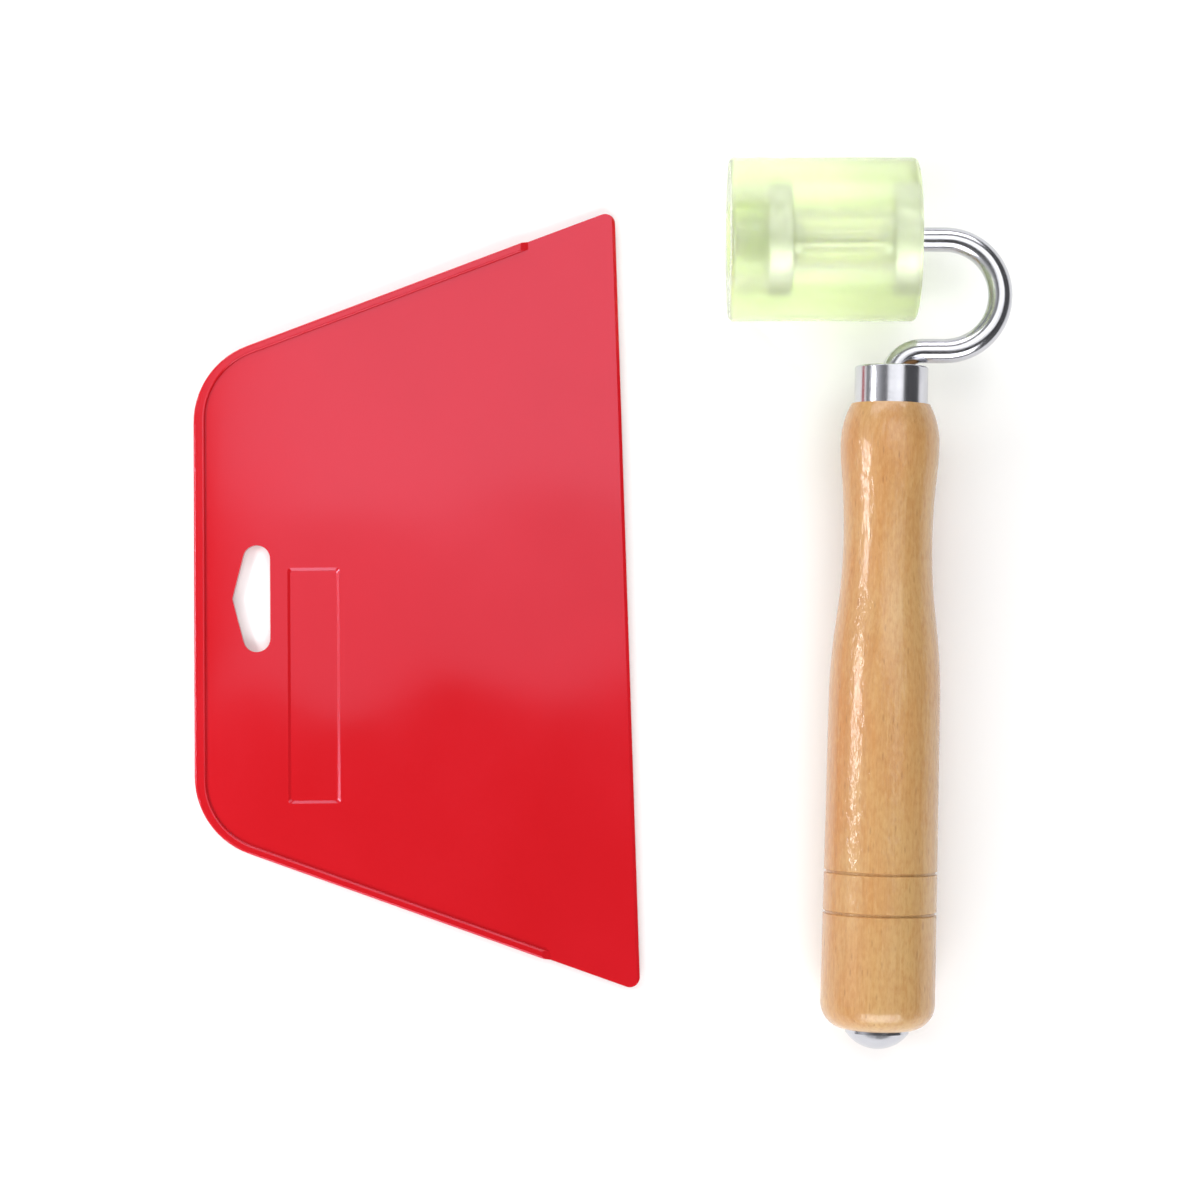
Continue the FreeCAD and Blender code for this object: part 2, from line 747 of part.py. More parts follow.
def frame_rod():
    body = new_body("Rod")
    path = new_sketch(body, "RodPath")
    hook, neck = dim("hook_radius"), dim("neck_radius")
    start, bend, turn_in = dim("axle_end"), dim("hook_start"), dim("neck_start")
    lean = dim("handle_lean")
    tang = (dim("tang_x"), dim("tang_y"))
    reach = dim("tang_length")
    foot = (
        tang[0] - reach * math.sin(math.radians(lean)),
        tang[1] - reach * math.cos(math.radians(lean)),
    )
    axle = add_line(path, (start, 0), (bend, 0))
    hook_arc = add_arc(path, (bend, -hook), hook, -90, 90)
    run = add_line(path, (bend, -2 * hook), (turn_in, -2 * hook))
    neck_arc = add_arc(path, (turn_in, -2 * hook - neck), neck, 90, 180 - lean)
    stem = add_line(path, tang, foot)
    join(path, axle, 2, hook_arc, 2, "Tangent")
    join(path, hook_arc, 1, run, 1, "Tangent")
    join(path, run, 2, neck_arc, 1, "Tangent")
    join(path, neck_arc, 2, stem, 1, "Tangent")
    pin_point(path, axle, 1, "Dims.axle_end", "0")
    pin_point(path, hook_arc, 3, "Dims.hook_start", "-Dims.hook_radius")
    set_radius(path, hook_arc, "Dims.hook_radius")
    pin_point(path, neck_arc, 3, "Dims.neck_start", "-2 * Dims.hook_radius - Dims.neck_radius")
    set_radius(path, neck_arc, "Dims.neck_radius")
    foot_x = "Dims.tang_x - Dims.tang_length * sin(Dims.handle_lean)"
    foot_y = "Dims.tang_y - Dims.tang_length * cos(Dims.handle_lean)"
    pin_point(path, stem, 2, foot_x, foot_y)

    section = new_sketch(body, "RodSection", "YZ_Plane", lift="Dims.axle_end")
    circle = section.addGeometry(Part.Circle(Vector(), Z_AXIS, dim("rod_radius")), False)
    section.addConstraint(Sketcher.Constraint("Coincident", circle, 3, -1, 1))
    set_radius(section, circle, "Dims.rod_radius")
    pipe = body.newObject("PartDesign::AdditivePipe", "BentRod")
    pipe.Profile = section
    pipe.Spine = (path, [f"Edge{i}" for i in range(1, 6)])
    path.Visibility = False
    section.Visibility = False
    doc.recompute()

    def round_end(box):
        axle_tip = at(box.XMin, dim("axle_end")) and at(box.XMax, dim("axle_end"))
        return axle_tip or at(box.Center.y, value(sheet, foot_y), NEAR)

    dress(body, "RodEnds", "Chamfer", "Dims.rod_chamfer", round_end)
    thread(body, "AxleThread", new_sketch(body, "AxleThreadProfile"), "Dims.axle_end", "+")
    return body


# ---------------------------------------- handle, X along its axis from the shoulder


def handle():
    body = new_body("Handle")
    sketch = new_sketch(body, "HandleProfile")
    nose, bulge = dim("nose_radius"), dim("bulge_arc")
    waist, palm, corner = dim("waist_arc"), dim("palm_arc"), dim("butt_corner")
    nose_centre = (dim("bulge_at"), dim("bulge_radius") - nose)
    bulge_centre = (dim("bulge_at"), dim("bulge_radius") - bulge)
    waist_centre = (dim("waist_at"), dim("waist_radius") + waist)
    palm_centre = (dim("palm_at"), dim("palm_radius") - palm)
    corner_centre = (dim("handle_length") - corner, dim("butt_radius") - corner)

    def bearing(a, b):
        return math.degrees(math.atan2(b[1] - a[1], b[0] - a[0]))

    first = bearing(bulge_centre, waist_centre)
    second = bearing(waist_centre, palm_centre)
    apart = math.dist(palm_centre, corner_centre)
    tangent = bearing(palm_centre, corner_centre) + math.degrees(math.acos((palm - corner) / apart))
    nose_start = 180 - math.degrees(math.acos(dim("bulge_at") / nose))
    nose_arc = add_arc(sketch, nose_centre, nose, 90, nose_start)
    bulge_arc = add_arc(sketch, bulge_centre, bulge, first, 90)
    waist_arc = add_arc(sketch, waist_centre, waist, first + 180, second + 360)
    palm_arc = add_arc(sketch, palm_centre, palm, tangent, second + 180)
    outward = (math.cos(math.radians(tangent)), math.sin(math.radians(tangent)))
    palm_end = (palm_centre[0] + outward[0] * palm, palm_centre[1] + outward[1] * palm)
    corner_start = (corner_centre[0] + outward[0] * corner, corner_centre[1] + outward[1] * corner)
    taper = add_line(sketch, palm_end, corner_start)
    corner_arc = add_arc(sketch, corner_centre, corner, 0, tangent)

    neck, bore = "Dims.collar_neck_radius", "Dims.rod_bore"
    neck_top = "-Dims.collar_neck_length"
    barrel = "Dims.cap_barrel + Dims.fit_gap"
    barrel_end = "Dims.handle_length - Dims.cap_barrel_length - Dims.cap_seat_gap"
    inside = [
        ("Dims.handle_length", barrel),
        (barrel_end, barrel),
        (barrel_end, bore),
        (f"{neck_top} + Dims.mouth_depth", bore),
        (neck_top, "Dims.mouth_radius"),
        (neck_top, neck + " - Dims.neck_chamfer"),
        (neck_top + " + Dims.neck_chamfer", neck),
        ("0", neck),
    ]
    places = [(value(sketch, x), value(sketch, y)) for x, y in inside]
    face_start = (dim("handle_length"), corner_centre[1])
    nose_foot = (0, nose_centre[1] + math.sqrt(nose**2 - dim("bulge_at") ** 2))
    stops = [face_start] + places + [nose_foot]
    lines = [add_line(sketch, a, b) for a, b in zip(stops, stops[1:])]
    for line, after in zip(lines, lines[1:]):
        join(sketch, line, 2, after, 1)
    for line, (x, y) in zip(lines[1:], inside):
        pin_point(sketch, line, 1, x, y)

    join(sketch, lines[-1], 2, nose_arc, 2)
    join(sketch, nose_arc, 1, bulge_arc, 2, "Tangent")
    join(sketch, bulge_arc, 1, waist_arc, 1, "Tangent")
    join(sketch, waist_arc, 2, palm_arc, 2, "Tangent")
    join(sketch, palm_arc, 1, taper, 1, "Tangent")
    join(sketch, taper, 2, corner_arc, 2, "Tangent")
    join(sketch, corner_arc, 1, lines[0], 1, "Tangent")
    pin_point(sketch, nose_arc, 3, "Dims.bulge_at", "Dims.bulge_radius - Dims.nose_radius")
    set_radius(sketch, nose_arc, "Dims.nose_radius")
    sketch.addConstraint(Sketcher.Constraint("PointOnObject", nose_arc, 2, -2))
    stations = ((nose_arc, 1, "bulge_at"), (waist_arc, 3, "waist_at"), (palm_arc, 3, "palm_at"))
    for arc, end, place in stations:
        index = sketch.addConstraint(Sketcher.Constraint("DistanceX", -1, 1, arc, end, dim(place)))
        sketch.setExpression(f"Constraints[{index}]", "Dims." + place)
    set_radius(sketch, bulge_arc, "Dims.bulge_arc")
    set_radius(sketch, waist_arc, "Dims.waist_arc")
    set_radius(sketch, palm_arc, "Dims.palm_arc")
    set_radius(sketch, corner_arc, "Dims.butt_corner")
    pin_point(sketch, corner_arc, 3, "Dims.handle_length - Dims.butt_corner",
              "Dims.butt_radius - Dims.butt_corner")
    revolve(body, "HandleTurn", sketch)

    grooves = new_sketch(body, "GripGrooveProfile")
    top, floor = "Dims.groove_top", "Dims.groove_floor"
    for index in range(int(dim("groove_count"))):
        middle = f"Dims.groove_first + {index} * Dims.groove_step"
        points = [
            (f"{middle} - Dims.groove_mouth", top),
            (f"{middle} - Dims.groove_land", floor),
            (f"{middle} + Dims.groove_land", floor),
            (f"{middle} + Dims.groove_mouth", top),
        ]
        outline(grooves, points)
    revolve(body, "GripGrooves", grooves, kind="PartDesign::Groove")
    return body


def ferrule():
    """A thin cup with an inward lip, pressed over the handle's neck."""
    inner = "Dims.collar_neck_radius + Dims.fit_gap"
    outer = inner + " + Dims.ferrule_wall"
    top = "-(Dims.collar_neck_length + Dims.ferrule_wall)"
    points = [
        ("0", inner),
        ("-Dims.collar_neck_length", inner),
        ("-Dims.collar_neck_length", "Dims.ferrule_lip"),
        (top, "Dims.ferrule_lip"),
        (top, outer),
        ("0", outer),
    ]
    body = lathe("Ferrule", points)
    crown = value(sheet, top)
    rim = value(sheet, outer)
    dress(body, "FerruleRound", "Fillet", "Dims.ferrule_round",
          lambda box: at(box.XMin, crown) and at(box.XMax, crown) and at(box.YMax, rim))
    return body


def butt_cap_nut():
    """A domed head on a blind tapped barrel. X = 0 is its seat on the handle's end."""
    body = new_body("CapNut")
    sketch = new_sketch(body, "CapProfile")
    arc_radius = dim("dome_arc")
    tip = dim("cap_edge") + dim("cap_rise")
    centre = (tip - arc_radius, 0)
    shoulder = math.degrees(math.atan2(dim("cap_radius"), dim("cap_edge") - centre[0]))
    dome = add_arc(sketch, centre, arc_radius, 0, shoulder)
    inside = "-Dims.cap_barrel_length"
    bore_end = "-Dims.cap_barrel_length + Dims.cap_bore_length"
    points = [
        ("Dims.cap_edge", "Dims.cap_radius"),
        ("0", "Dims.cap_radius"),
        ("0", "Dims.cap_barrel"),
        (inside + " + Dims.cap_barrel_chamfer", "Dims.cap_barrel"),
        (inside, "Dims.cap_barrel - Dims.cap_barrel_chamfer"),
        (inside, "Dims.bearing_bore"),
        (bore_end, "Dims.bearing_bore"),
        (bore_end + " + Dims.cap_drill_point", "0"),
        ("Dims.cap_edge + Dims.cap_rise", "0"),
    ]
    places = [(value(sketch, x), value(sketch, y)) for x, y in points]
    lines = [add_line(sketch, a, b) for a, b in zip(places, places[1:])]
    for line, after in zip(lines, lines[1:]):
        join(sketch, line, 2, after, 1)
    for line, (x, y) in zip(lines, points):
        pin_point(sketch, line, 1, x, y)
    pin_point(sketch, lines[-1], 2, *points[-1])
    join(sketch, dome, 2, lines[0], 1)
    join(sketch, lines[-1], 2, dome, 1)
    sketch.addConstraint(Sketcher.Constraint("PointOnObject", dome, 3, -1))
    revolve(body, "CapTurn", sketch)
    return body


# ---------------------------------------- assembly


def turn(axis, degrees):
    return Rotation(axis, degrees)


def tool_placement():
    """The roller tool as it lies: on its tyre and on the edge of its handle's butt."""
    lean = math.radians(dim("handle_lean"))
    corner = dim("butt_corner")
    along = dim("shoulder_drop") + dim("handle_length") - corner
    run = -dim("tang_y") + along * math.cos(lean)
    side = dim("butt_radius") - corner
    rise = dim("tyre_radius") - corner
    tilt = math.asin(rise / math.hypot(run, side)) - math.atan(side / run)
    return Placement(Vector(0, 0, dim("tyre_radius")), turn(X_AXIS, math.degrees(tilt)))


def on_handle(distance):
    """Placement in the tool's frame at a distance down the handle's axis, X pointing to the butt."""
    lean = dim("handle_lean")
    foot = Placement(Vector(dim("tang_x"), dim("tang_y"), 0), turn(Z_AXIS, -90 - lean))
    return foot * Placement(Vector(distance, 0, 0), Rotation())


def on_axle(x, outboard=1):
    """Placement in the tool's frame on the roller's axis, X pointing right or, for -1, left."""
    return Placement(Vector(x, 0, 0), turn(Z_AXIS, 0 if outboard > 0 else 180))


tool = tool_placement()
shoulder = dim("shoulder_drop")
left, right = dim("left_bearing"), dim("right_bearing")
half_race = dim("bearing_width") / 2
washer_face = left - half_race - dim("washer_thick")
ring_seat = dim("nut_height") - dim("nut_lip_thick") - dim("insert_height")
plate = Placement(Vector(dim("plate_from_tyre"), -dim("plate_drop"), 0), turn(Z_AXIS, dim("plate_turn")))

pieces = {
    "squeegee": (squeegee(), plate),
    "roller_tyre": (roller_tyre(), tool),
    "frame_rod": (frame_rod(), tool),
    "ferrule": (ferrule(), tool * on_handle(shoulder)),
    "handle": (handle(), tool * on_handle(shoulder)),
    "butt_cap_nut": (butt_cap_nut(), tool * on_handle(shoulder + dim("handle_length"))),
    "left_stop_collar": (stop_collar("LeftCollar"), tool * on_axle(left + half_race)),
    "right_stop_collar": (stop_collar("RightCollar"), tool * on_axle(right - half_race, -1)),
    "axle_washer": (axle_washer(), tool * on_axle(left - half_race, -1)),
    "lock_nut": (lock_nut(), tool * on_axle(washer_face, -1)),
    "lock_nut_insert": (lock_nut_insert(), tool * on_axle(washer_face - ring_seat, -1)),
}
for side, centre, outboard in (("left", left, -1), ("right", right, 1)):
    name = side.title()
    outward, inward = tool * on_axle(centre, outboard), tool * on_axle(centre, -outboard)
    pieces[side + "_outer_race"] = (outer_race(name + "OuterRace"), outward)
    pieces[side + "_inner_race"] = (inner_race(name + "InnerRace"), outward)
    pieces[side + "_balls"] = (balls(name + "Balls"), outward)
    pieces[side + "_cage"] = (cage(name + "Cage"), outward)
    pieces[side + "_outboard_shield"] = (shield(name + "OutboardShield"), outward)
    pieces[side + "_inboard_shield"] = (shield(name + "InboardShield"), inward)

for label, (piece, placement) in pieces.items():
    piece.Label = label
    piece.Placement = placement
doc.recompute()

# The origin goes to the middle of the set's footprint.
footprint = FreeCAD.BoundBox()
for piece, _ in pieces.values():
    footprint.add(piece.Shape.optimalBoundingBox(False))
centring = Placement(Vector(-footprint.Center.x, -footprint.Center.y, 0), Rotation())
for piece, placement in pieces.values():
    piece.Placement = centring * placement
doc.recompute()

for item in doc.Objects:
    if "Invalid" in item.State or "Error" in item.State:
        raise RuntimeError(f"{item.Name} is in state {item.State}")
    if item.TypeId == "Sketcher::SketchObject" and not item.FullyConstrained:
        raise RuntimeError(f"{item.Name} is not fully constrained")

os.makedirs("parts", exist_ok=True)
for label, (piece, _) in pieces.items():
    shape = piece.Shape
    if shape.isNull() or not shape.isValid() or shape.Volume <= 0:
        raise RuntimeError(f"{label} has no valid solid")
    shape.exportStep(f"parts/{label}.step")
    box = shape.optimalBoundingBox(False)
    low = [round(v, 2) for v in (box.XMin, box.YMin, box.ZMin)]
    high = [round(v, 2) for v in (box.XMax, box.YMax, box.ZMax)]
    print(f"{label:24s} {shape.Volume:10.1f} mm3  {len(shape.Solids)} solids  {low} {high}")
print("footprint", footprint)
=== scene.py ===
import json
import math

import bmesh
import bpy
from mathutils import Matrix, Vector

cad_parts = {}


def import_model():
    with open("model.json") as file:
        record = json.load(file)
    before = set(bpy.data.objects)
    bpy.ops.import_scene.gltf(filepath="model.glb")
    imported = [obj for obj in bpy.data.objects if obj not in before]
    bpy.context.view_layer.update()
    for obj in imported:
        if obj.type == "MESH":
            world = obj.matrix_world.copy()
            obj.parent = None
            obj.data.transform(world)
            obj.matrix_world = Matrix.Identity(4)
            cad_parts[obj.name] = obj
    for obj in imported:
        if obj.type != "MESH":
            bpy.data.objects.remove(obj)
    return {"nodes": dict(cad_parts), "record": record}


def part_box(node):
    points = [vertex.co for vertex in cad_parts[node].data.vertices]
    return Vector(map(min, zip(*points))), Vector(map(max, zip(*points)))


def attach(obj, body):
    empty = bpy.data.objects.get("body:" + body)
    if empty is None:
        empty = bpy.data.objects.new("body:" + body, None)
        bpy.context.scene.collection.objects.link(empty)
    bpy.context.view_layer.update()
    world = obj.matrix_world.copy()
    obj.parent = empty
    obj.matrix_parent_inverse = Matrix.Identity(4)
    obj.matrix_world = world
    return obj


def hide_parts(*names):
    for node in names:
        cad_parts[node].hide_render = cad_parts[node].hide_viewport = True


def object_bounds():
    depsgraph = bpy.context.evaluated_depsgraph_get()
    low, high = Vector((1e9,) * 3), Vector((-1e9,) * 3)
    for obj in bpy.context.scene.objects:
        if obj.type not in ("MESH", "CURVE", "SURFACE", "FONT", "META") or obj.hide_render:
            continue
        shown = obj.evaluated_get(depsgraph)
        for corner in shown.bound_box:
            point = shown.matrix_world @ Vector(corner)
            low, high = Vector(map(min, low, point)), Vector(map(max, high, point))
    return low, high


# The looks of a squeegee and a press roller that lie side by side: the materials, the roller's cast tyre,
# the floor, the light and the camera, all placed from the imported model. Lengths are in metres.

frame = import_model()
cad_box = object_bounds()

MM = 0.001
WHITE = (1.0, 1.0, 1.0, 1.0)

scene = bpy.context.scene
scene.view_settings.view_transform = "Standard"
scene.view_settings.look = "None"


def middle(box):
    low, high = box
    return (low + high) / 2


set_centre = middle(cad_box)
roller_centre = middle(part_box("roller_tyre"))

# The handle's own axes: origin in the middle of the ferrule, Y from the butt to the roller.
handle_top = middle(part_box("ferrule"))
handle_axis = (handle_top - middle(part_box("butt_cap_nut"))).normalized()
handle_turn = handle_axis.to_track_quat("Y", "Z").to_euler()


# ---------------------------------------------------------------- node helpers


class Nodes:
    """Short calls that add nodes to a tree. An input is given a number, a tuple or another node's socket."""

    def __init__(self, tree):
        self.tree = tree

    def put(self, socket, given):
        if isinstance(given, bpy.types.NodeSocket):
            self.tree.links.new(given, socket)
        else:
            socket.default_value = given

    def add(self, kind, settings=None, **inputs):
        """A node. settings are its properties, and inputs its sockets by name or, as in _0, by number."""
        node = self.tree.nodes.new("ShaderNode" + kind)
        for key, given in (settings or {}).items():
            setattr(node, key, given)
        for key, given in inputs.items():
            socket = node.inputs[int(key[1:])] if key[0] == "_" else node.inputs[key.replace("_", " ")]
            self.put(socket, given)
        return node

    def math(self, operation, a, b=0.0):
        return self.add("Math", {"operation": operation}, _0=a, _1=b).outputs[0]

    def span(self, given, source, target=(0.0, 1.0), smooth=False):
        """Remaps a value from the source range to the target range, clamped."""
        settings = {"interpolation_type": "SMOOTHSTEP" if smooth else "LINEAR"}
        (low, high), (to_low, to_high) = source, target
        return self.add("MapRange", settings, _0=given, _1=low, _2=high, _3=to_low, _4=to_high).outputs[0]

    def moved(self, vector, by):
        return self.add("VectorMath", {"operation": "ADD"}, _0=vector, _1=by).outputs[0]

    def scaled(self, vector, by):
        return self.add("VectorMath", {"operation": "MULTIPLY"}, _0=vector, _1=by).outputs[0]

    def length(self, vector):
        return self.add("VectorMath", {"operation": "LENGTH"}, _0=vector).outputs["Value"]

    def noise(self, vector, scale=1.0, detail=2, rough=0.5):
        return self.add("TexNoise", Vector=vector, Scale=scale, Detail=detail, Roughness=rough).outputs[0]

    def blend(self, factor, a, b):
        """The colour a where the factor is 0, and b where it is 1."""
        return self.add("Mix", {"data_type": "RGBA"}, _0=factor, _6=a, _7=b).outputs[2]

    def ramp(self, factor, *stops):
        """A colour from (position, colour) stops."""
        node = self.add("ValToRGB", _0=factor)
        elements = node.color_ramp.elements
        while len(elements) < len(stops):
            elements.new(0.5)
        for element, (position, colour) in zip(elements, stops):
            element.position = position
            element.color = colour
        return node.outputs[0]

    def ray(self, kind):
        """1 for light rays of a kind, such as Camera or Shadow, and 0 for all others."""
        return self.add("LightPath").outputs[f"Is {kind} Ray"]


class Shader(Nodes):
    """A material about its Principled shader."""

    def __init__(self, name):
        self.material = bpy.data.materials.new(name)
        self.material.use_nodes = True
        super().__init__(self.material.node_tree)
        self.bsdf = next(node for node in self.tree.nodes if node.type == "BSDF_PRINCIPLED")

    def set(self, **inputs):
        for key, given in inputs.items():
            self.put(self.bsdf.inputs[key.replace("_", " ")], given)

    def mix_over(self, factor, shader):
        """Shows another shader in place of the Principled one, by a factor of 0 to 1."""
        both = self.add("MixShader", _0=factor, _1=self.bsdf.outputs[0], _2=shader.outputs[0])
        self.put(self.tree.nodes["Material Output"].inputs["Surface"], both.outputs[0])

    def place(self, origin=(0, 0, 0), turn=(0, 0, 0), scale=(1, 1, 1)):
        """Object coordinates in metres about an origin, turned into its axes, then scaled."""
        here = self.add("TexCoord").outputs["Object"]
        settings = {"vector_type": "TEXTURE"}
        turned = self.add("Mapping", settings, Vector=here, Location=origin, Rotation=turn).outputs[0]
        return self.scaled(turned, scale)

    def from_axle(self, here):
        """The distance from the roller's axle, which lies along X."""
        return self.length(self.scaled(here, (0, 1, 1)))

    def bump(self, height, distance, normal=None):
        """Bump by a height of 0 to 1 that stands for a distance in metres."""
        node = self.add("Bump", Height=height, Distance=distance, Strength=1.0)
        if normal is not None:
            self.put(node.inputs["Normal"], normal)
        return node.outputs[0]


def rgb(red, green, blue):
    """A linear colour from sRGB numbers of 0 to 255."""
    parts = [c / 255 for c in (red, green, blue)]
    return tuple(c / 12.92 if c <= 0.04045 else ((c + 0.055) / 1.055) ** 2.4 for c in parts) + (1.0,)


def darker(tone, share):
    return tuple(int(c * share) for c in tone)


# ---------------------------------------------------------------- materials


def red_plastic():
    """Glossy moulded plastic: even colour, a slow waviness from cooling, orange peel and fine hairlines."""
    s = Shader("red_plastic")
    here = s.place()
    cloud = s.noise(here, scale=20, detail=3, rough=0.55)
    colour = s.blend(s.span(cloud, (0.3, 0.7)), rgb(190, 22, 29), rgb(195, 25, 34))
    waves = s.noise(s.place((-0.45, 0.36, 0), scale=(1.0, 0.8, 1.0)), scale=14, detail=1, rough=0.35)
    peel = s.noise(here, scale=420)
    hairlines = s.noise(s.place(turn=(0, 0, 0.15), scale=(5200, 60, 60)), detail=1)
    dust = s.span(s.noise(here, scale=2600, detail=1), (0.66, 0.78))
    gloss = s.span(cloud, (0.3, 0.7), (0.08, 0.12))
    rough = s.math("ADD", gloss, s.math("MULTIPLY", dust, 0.15))
    normal = s.bump(waves, 1.5 * MM)
    normal = s.bump(peel, 0.0022 * MM, normal)
    normal = s.bump(hairlines, 0.0004 * MM, normal)
    s.set(Base_Color=colour, Roughness=rough, Normal=normal, IOR=1.53, Specular_Tint=(0.86, 0.72, 1.0, 1))
    return s.material


def late_wood(s, here):
    """The dark end of each growth ring, from 0 to 1, about a pith well outside the handle."""
    rings_per_metre = 330
    pith_to_here = s.moved(here, (0.016, 0, 0.050))
    reach = s.length(s.scaled(pith_to_here, (1, 0, 1)))
    drift = s.noise(s.scaled(here, (30, 7, 30)), detail=3)
    reach = s.math("ADD", reach, s.math("MULTIPLY", drift, 6 * MM))
    phase = s.math("FRACT", s.math("MULTIPLY", reach, rings_per_metre))
    return s.math("POWER", phase, 3.0)


def ray_flecks(s, here):
    """Short dark dashes along the grain, from 0 to 1. About half of the cells hold one."""
    cells = s.add("TexVoronoi", {"feature": "F1"}, Vector=s.scaled(here, (820, 190, 820)), Scale=1.0,
                  Randomness=1.0)
    dash = s.span(cells.outputs["Distance"], (0.10, 0.24), (1.0, 0.0))
    chance = s.add("SeparateColor", _0=cells.outputs["Color"]).outputs[0]
    return s.math("MULTIPLY", dash, s.span(chance, (0.45, 0.6)))


def lacquered_beech():
    """Straight-grained beech turned from one blank, under a clear gloss lacquer that sinks at the pores."""
    s = Shader("lacquered_beech")
    here = s.place(handle_top, handle_turn)
    late = late_wood(s, here)
    fleck = ray_flecks(s, here)
    fibre = s.noise(s.scaled(here, (2600, 45, 2600)), detail=3, rough=0.6)
    grain = s.noise(s.scaled(here, (700, 16, 700)), detail=3, rough=0.6)
    mottle = s.noise(s.scaled(here, (60, 22, 60)), detail=3, rough=0.55)
    speckle = s.noise(s.scaled(here, (1100, 420, 1100)), rough=0.6)
    pore = s.span(s.noise(s.scaled(here, (5200, 420, 5200))), (0.60, 0.70))

    colour = s.ramp(mottle, (0.34, rgb(190, 132, 72)), (0.52, rgb(193, 146, 88)), (0.68, rgb(196, 157, 100)))
    colour = s.blend(s.math("MULTIPLY", late, 0.20), colour, rgb(167, 114, 61))
    colour = s.blend(s.span(grain, (0.35, 0.75), (0.0, 0.30)), colour, rgb(176, 125, 70))
    colour = s.blend(s.span(speckle, (0.50, 0.70), (0.0, 0.42)), colour, rgb(174, 116, 56))
    colour = s.blend(s.span(speckle, (0.48, 0.34), (0.0, 0.26)), colour, rgb(208, 166, 108))
    colour = s.blend(s.span(fibre, (0.4, 0.7), (0.0, 0.22)), colour, rgb(209, 173, 124))
    colour = s.blend(s.math("MULTIPLY", fleck, 0.34), colour, rgb(127, 79, 38))
    colour = s.blend(s.math("MULTIPLY", pore, 0.16), colour, rgb(107, 68, 34))

    sink = s.math("ADD", s.math("MULTIPLY", fleck, 0.45), s.math("MULTIPLY", pore, 0.55))
    level = s.math("SUBTRACT", 1.0, sink)
    normal = s.bump(level, 0.012 * MM)
    normal = s.bump(fibre, 0.010 * MM, normal)
    # The lacquer's own surface: brushed thick and thin, with a fine skin.
    lacquer = s.noise(s.scaled(here, (260, 120, 260)))
    skin = s.noise(s.scaled(here, (1000, 330, 1000)), rough=0.55)
    coat = s.bump(lacquer, 0.18 * MM)
    coat = s.bump(skin, 0.17 * MM, coat)
    coat = s.bump(level, 0.008 * MM, coat)
    coat = s.bump(grain, 0.010 * MM, coat)
    s.set(Base_Color=colour, Roughness=s.span(fibre, (0.3, 0.7), (0.42, 0.55)), Normal=normal,
          Coat_Weight=0.9, Coat_Roughness=0.155, Coat_IOR=1.5, Coat_Normal=coat)
    return s.material


def chrome_steel():
    """Bright chrome with faint drawing lines and a few dull handling marks."""
    s = Shader("chrome_steel")
    here = s.place()
    smudge = s.noise(here, scale=90, detail=4, rough=0.6)
    line = s.noise(s.scaled(here, (900, 2600, 2600)))
    polish = s.span(smudge, (0.35, 0.75), (0.16, 0.24))
    rough = s.math("ADD", polish, s.span(line, (0.3, 0.8), (0.0, 0.04)))
    tone = s.blend(s.span(smudge, (0.4, 0.8)), rgb(203, 203, 208), rgb(187, 188, 195))
    normal = s.bump(s.noise(here, scale=160), 0.02 * MM)
    normal = s.bump(line, 0.0006 * MM, normal)
    s.set(Base_Color=tone, Metallic=1.0, Roughness=rough, Normal=normal)
    return s.material


def clear_polyurethane():
    """Cast polyurethane: pale yellow-green, hazy inside, ground matt on the outside. Lamps shine into it."""
    s = Shader("clear_polyurethane")
    here = s.place(roller_centre)
    haze = s.noise(here, scale=55, detail=3)
    fine = s.noise(s.scaled(here, (2200, 2200, 2200)))
    # Grinding marks run round the tyre, so they vary along the axle only.
    rings = s.noise(s.scaled(here, (5200, 40, 40)), detail=3, rough=0.6)
    colour = s.blend(s.span(haze, (0.3, 0.7)), rgb(221, 230, 195), rgb(218, 228, 189))
    # The bore is bounded by less of the tinted wall, so it is paler.
    wall = s.span(s.from_axle(here), (6 * MM, 9 * MM))
    colour = s.blend(wall, rgb(250, 251, 236), colour)
    rough = s.span(s.math("ADD", fine, haze), (0.7, 1.3), (0.18, 0.27))
    normal = s.bump(fine, 0.002 * MM)
    normal = s.bump(rings, 0.002 * MM, normal)
    s.set(Base_Color=colour, Roughness=rough, Normal=normal, Transmission_Weight=0.77, IOR=1.45,
          Subsurface_Weight=1.0, Subsurface_Scale=6 * MM, Subsurface_Radius=(1.0, 1.1, 0.6))
    clear = s.add("BsdfTransparent", Color=(0.93, 0.965, 0.86, 1))
    s.mix_over(s.ray("Shadow"), clear)
    return s.material


def steel(name, tone, rough, mark_depth):
    """Machined steel with turning marks about the axle and a slightly uneven finish."""
    s = Shader(name)
    here = s.place(roller_centre)
    marks_per_metre = 4200
    along = s.add("SeparateXYZ", _0=here).outputs["X"]
    section = s.add("CombineXYZ", _0=along, _1=s.from_axle(here)).outputs[0]
    marks = s.noise(section, scale=marks_per_metre, rough=0.6)
    patch = s.noise(here, scale=260, detail=3, rough=0.6)
    colour = s.blend(s.span(patch, (0.3, 0.75)), rgb(*tone), rgb(*darker(tone, 0.86)))
    finish = s.span(patch, (0.3, 0.75), (rough, rough + 0.12))
    level = s.math("ADD", finish, s.span(marks, (0.3, 0.7), (0.0, 0.06)))
    s.set(Base_Color=colour, Metallic=1.0, Roughness=level, Normal=s.bump(marks, mark_depth))
    return s.material


